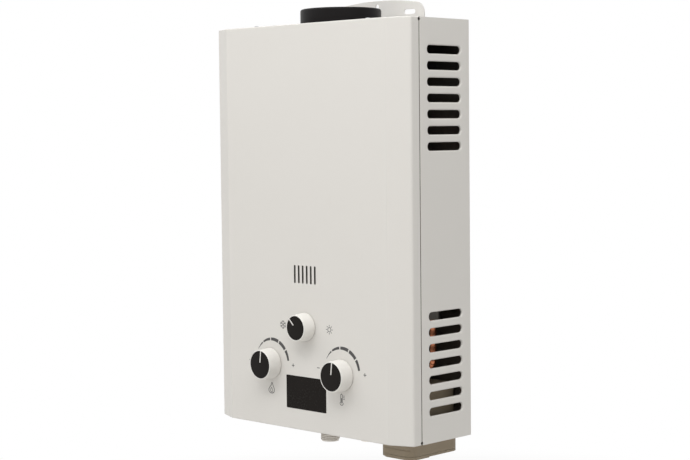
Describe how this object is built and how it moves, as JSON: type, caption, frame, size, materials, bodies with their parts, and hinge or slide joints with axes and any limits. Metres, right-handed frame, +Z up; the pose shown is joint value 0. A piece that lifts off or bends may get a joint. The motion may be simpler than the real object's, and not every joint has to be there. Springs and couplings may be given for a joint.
{
  "type": "tankless gas water heater",
  "caption": "Wall-hung tankless gas water heater: slotted sheet-metal case with facets, control knobs, display, flue collar on top, threaded pipe connections and a battery box below.",
  "frame": {"origin": "on the wall, midway between the hanging bracket's two screw slots", "axes": "+X to the right seen from the front, +Y into the wall, +Z up; the heater lies towards -Y and -Z"},
  "size_m": [0.29, 0.1347, 0.4825],
  "materials": {
    "white_paint": "satin warm-white powder coat on sheet steel",
    "bracket_paint": "satin grey-white powder coat",
    "black_enamel": "black satin heat-proof paint",
    "plated_steel": "plated sheet steel",
    "zinc": "bright zinc plating",
    "copper": "bare drawn copper",
    "brass": "machined brass",
    "nickel": "satin nickel plating on brass",
    "cast_aluminium": "die-cast grey",
    "knob_white": "semi-gloss moulded white",
    "disc_black": "semi-gloss moulded black",
    "display_black": "glossy smoked black lens",
    "black_plastic": "matt black moulding",
    "battery_plastic": "matt brown-grey moulding",
    "board_green": "lacquered circuit board",
    "ceramic": "glazed ceramic",
    "rubber": "moulded rubber",
    "cell_jacket": "printed-free foil jacket"
  },
  "bodies": {
    "case": {"battery_box": "battery_plastic", "battery_cells": "cell_jacket", "battery_contacts": "zinc", "bottom_panel": "white_paint", "burner_blades": "plated_steel", "burner_frame": "plated_steel", "chamber_brackets": "zinc", "chamber_shell": "plated_steel", "cold_pipe": "copper", "cover_screws": "zinc", "display_board": "board_green", "display_frame": "black_plastic", "display_window": "display_black", "electrode_bracket": "zinc", "exchanger_tube": "copper", "fin_pack": "copper", "flame_sensor": "ceramic", "flange_gasket": "rubber", "flue_collar": "black_enamel", "flue_hood": "plated_steel", "flue_stat": "zinc", "foot_bracket": "bracket_paint", "front_cover": "white_paint", "gas_manifold": "cast_aluminium", "gas_solenoid": "black_plastic", "gas_valve": "cast_aluminium", "hanging_bracket": "bracket_paint", "hinge_pin": "zinc", "hot_outlet": "nickel", "hot_pipe": "copper", "igniter_box": "black_plastic", "membrane": "rubber", "membrane_cover": "nickel", "micro_switch": "black_plastic", "nozzles": "brass", "overheat_stat": "zinc", "pipe_nuts": "plated_steel", "rear_casing": "white_paint", "relief_plug": "brass", "season_valve": "cast_aluminium", "spark_electrode": "ceramic", "top_panel": "white_paint", "valve_bracket": "zinc", "water_valve": "nickel"},
    "season_control": {"season_knob": "knob_white", "season_disc": "disc_black", "season_spindle": "brass"},
    "flame_control": {"flame_knob": "knob_white", "flame_disc": "disc_black", "flame_spindle": "brass"},
    "water_control": {"water_knob": "knob_white", "water_disc": "disc_black", "water_spindle": "brass"},
    "battery_door": {"battery_lid": "battery_plastic", "lid_contact": "zinc"},
    "link_rod": {"push_rod": "zinc"},
    "switch_arm": {"switch_lever": "zinc"}
  },
  "joints": [
    {"name": "season_turn", "type": "hinge", "parent": "case", "child": "season_control", "pos_m": [0, -0.118, -0.3365], "axis": [0, 1, 0], "range_deg": [0, 90]},
    {"name": "flame_turn", "type": "hinge", "parent": "case", "child": "flame_control", "pos_m": [-0.0545, -0.118, -0.3805], "axis": [0, 1, 0], "range_deg": [-65, 72]},
    {"name": "water_turn", "type": "hinge", "parent": "case", "child": "water_control", "pos_m": [0.0537, -0.118, -0.3832], "axis": [0, 1, 0], "range_deg": [-65, 72]},
    {"name": "lid_hinge", "type": "hinge", "parent": "case", "child": "battery_door", "pos_m": [0.1055, -0.0188, -0.4657], "axis": [1, 0, 0], "range_deg": [0, 100]},
    {"name": "rod_slide", "type": "slide", "parent": "case", "child": "link_rod", "axis": [-1, 0, 0], "range_m": [0, 0.004], "stiffness_N_per_m": 500},
    {"name": "lever_swing", "type": "hinge", "parent": "case", "child": "switch_arm", "pos_m": [0.0164, -0.073, -0.3662], "axis": [0, 1, 0], "range_deg": [0, 19]}
  ],
  "couplings": [
    {"joint": "lever_swing", "follows": "rod_slide", "rad_per_m": 80}
  ]
}
